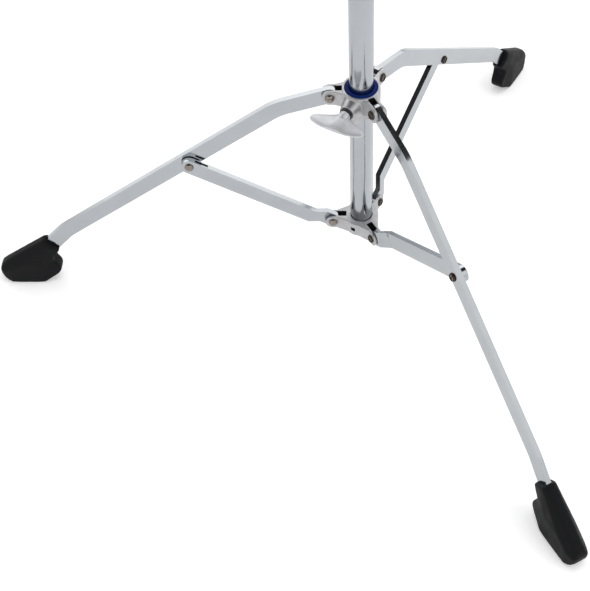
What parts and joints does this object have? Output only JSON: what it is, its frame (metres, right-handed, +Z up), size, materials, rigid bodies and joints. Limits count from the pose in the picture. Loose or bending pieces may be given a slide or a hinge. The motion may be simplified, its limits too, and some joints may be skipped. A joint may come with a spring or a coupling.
{
  "type": "straight cymbal stand",
  "caption": "Folding straight cymbal stand: single-braced tripod with rubber boots, two telescoping tubes with wing bolt clamps, tilter, felts and wing nut.",
  "frame": {"origin": "on the floor, at the middle of the footprint of the space that the open stand takes up; the tube's axis is at x 0.0796, y 0.0175", "axes": "+Z up along the tube; leg_1 runs towards -X, leg_2 towards +X -Y and leg_3 towards +X +Y, each turned a few degrees as in the picture"},
  "size_m": [0.6214, 0.6802, 1.0302],
  "materials": {
    "chromed_steel": "bright chrome plate on pressed and drawn steel",
    "chromed_casting": "chrome plate on a die casting, edges softly rounded",
    "satin_casting": "satin light grey die casting",
    "nickel_rivet": "warm nickel plate on steel",
    "black_rubber": "moulded black rubber, soft sheen",
    "blue_nylon": "moulded deep blue nylon",
    "black_nylon": "black nylon",
    "grey_felt": "pressed wool felt, charcoal"
  },
  "bodies": {
    "base": {"base_tube": "chromed_steel", "base_tube_plug": "black_rubber", "lower_collar": "chromed_casting", "lower_rivet_1": "nickel_rivet", "lower_rivet_2": "nickel_rivet", "lower_rivet_3": "nickel_rivet", "base_clamp": "chromed_casting", "base_bush": "blue_nylon", "base_bolt_washer": "black_nylon"},
    "brace_1": {"brace_1": "chromed_steel", "pivot_rivet_1": "nickel_rivet", "pivot_spacer_1": "black_nylon"},
    "brace_2": {"brace_2": "chromed_steel", "pivot_rivet_2": "nickel_rivet", "pivot_spacer_2": "black_nylon"},
    "brace_3": {"brace_3": "chromed_steel", "pivot_rivet_3": "nickel_rivet", "pivot_spacer_3": "black_nylon"},
    "leg_1": {"leg_1": "chromed_steel", "foot_1": "black_rubber"},
    "leg_2": {"leg_2": "chromed_steel", "foot_2": "black_rubber"},
    "leg_3": {"leg_3": "chromed_steel", "foot_3": "black_rubber"},
    "collar": {"upper_collar": "chromed_casting", "collar_bush": "blue_nylon", "collar_bolt_washer": "black_nylon", "upper_rivet_1": "nickel_rivet", "upper_rivet_2": "nickel_rivet", "upper_rivet_3": "nickel_rivet"},
    "collar_bolt": {"collar_wing_bolt": "satin_casting"},
    "base_bolt": {"base_wing_bolt": "satin_casting"},
    "middle": {"middle_tube": "chromed_steel", "middle_clamp": "chromed_casting", "middle_bush": "blue_nylon", "middle_bolt_washer": "black_nylon"},
    "middle_bolt": {"middle_wing_bolt": "satin_casting"},
    "top": {"top_tube": "chromed_steel", "tilter_fork": "chromed_casting", "tilter_bolt_washer": "black_nylon", "tilter_nut": "nickel_rivet"},
    "tilter_bolt": {"tilter_wing_bolt": "satin_casting"},
    "tilter": {"tilter_rod": "chromed_steel", "seat_cup": "chromed_steel", "seat_sleeve": "black_nylon", "lower_felt": "grey_felt", "upper_felt": "grey_felt"},
    "seat_nut": {"wing_nut": "satin_casting"}
  },
  "joints": [
    {"name": "tripod_fold", "type": "hinge", "parent": "base", "child": "brace_1", "pos_m": [0.05096, 0.02016, 0.09203], "axis": [0.0915, 0.9958, 0], "range_deg": [-16, 48]},
    {"name": "brace_2_fold", "type": "hinge", "parent": "base", "child": "brace_2", "pos_m": [0.0917, -0.00863, 0.09203], "axis": [-0.9081, -0.4187, 0], "range_deg": [-16, 48]},
    {"name": "brace_3_fold", "type": "hinge", "parent": "base", "child": "brace_3", "pos_m": [0.09626, 0.04104, 0.09203], "axis": [0.8166, -0.5771, 0], "range_deg": [-16, 48]},
    {"name": "leg_1_fold", "type": "hinge", "parent": "brace_1", "child": "leg_1", "pos_m": [-0.08698, 0.02967, 0.17727], "axis": [-0.0915, -0.9958, 0], "range_deg": [-32, 96]},
    {"name": "leg_2_fold", "type": "hinge", "parent": "brace_2", "child": "leg_2", "pos_m": [0.15243, -0.13285, 0.17727], "axis": [0.9081, 0.4187, 0], "range_deg": [-32, 96]},
    {"name": "leg_3_fold", "type": "hinge", "parent": "brace_3", "child": "leg_3", "pos_m": [0.17347, 0.15574, 0.17727], "axis": [-0.8166, 0.5771, 0], "range_deg": [-32, 96]},
    {"name": "collar_level", "type": "hinge", "parent": "leg_1", "child": "collar", "pos_m": [0.05096, 0.02016, 0.26251], "axis": [0.0915, 0.9958, 0], "range_deg": [-16, 48]},
    {"name": "collar_bolt_turn", "type": "hinge", "parent": "collar", "child": "collar_bolt", "pos_m": [0.05367, -0.01923, 0.25981], "axis": [-0.5771, -0.8166, 0], "continuous": true},
    {"name": "base_bolt_turn", "type": "hinge", "parent": "base", "child": "base_bolt", "pos_m": [0.05367, -0.01923, 0.54323], "axis": [-0.5771, -0.8166, 0], "continuous": true},
    {"name": "middle_slide", "type": "slide", "parent": "base", "child": "middle", "axis": [0, 0, 1], "range_m": [-0.18, 0.11]},
    {"name": "middle_bolt_turn", "type": "hinge", "parent": "middle", "child": "middle_bolt", "pos_m": [0.05367, -0.01923, 0.78323], "axis": [-0.5771, -0.8166, 0], "continuous": true},
    {"name": "top_slide", "type": "slide", "parent": "middle", "child": "top", "axis": [0, 0, 1], "range_m": [-0.108, 0.15]},
    {"name": "tilter_tilt", "type": "hinge", "parent": "top", "child": "tilter", "pos_m": [0.07964, 0.01752, 0.94623], "axis": [0, 1, 0], "range_deg": [-85, 85]},
    {"name": "tilter_bolt_turn", "type": "hinge", "parent": "top", "child": "tilter_bolt", "pos_m": [0.07964, -0.01, 0.94623], "axis": [0, -1, 0], "continuous": true},
    {"name": "wing_nut_turn", "type": "hinge", "parent": "tilter", "child": "seat_nut", "pos_m": [0.07964, 0.01752, 1.005], "axis": [0, 0, 1], "continuous": true}
  ],
  "couplings": [
    {"joint": "brace_2_fold", "follows": "tripod_fold", "ratio": 1},
    {"joint": "brace_3_fold", "follows": "tripod_fold", "ratio": 1},
    {"joint": "leg_1_fold", "follows": "tripod_fold", "ratio": 2},
    {"joint": "leg_2_fold", "follows": "tripod_fold", "ratio": 2},
    {"joint": "leg_3_fold", "follows": "tripod_fold", "ratio": 2},
    {"joint": "collar_level", "follows": "tripod_fold", "ratio": 1}
  ]
}
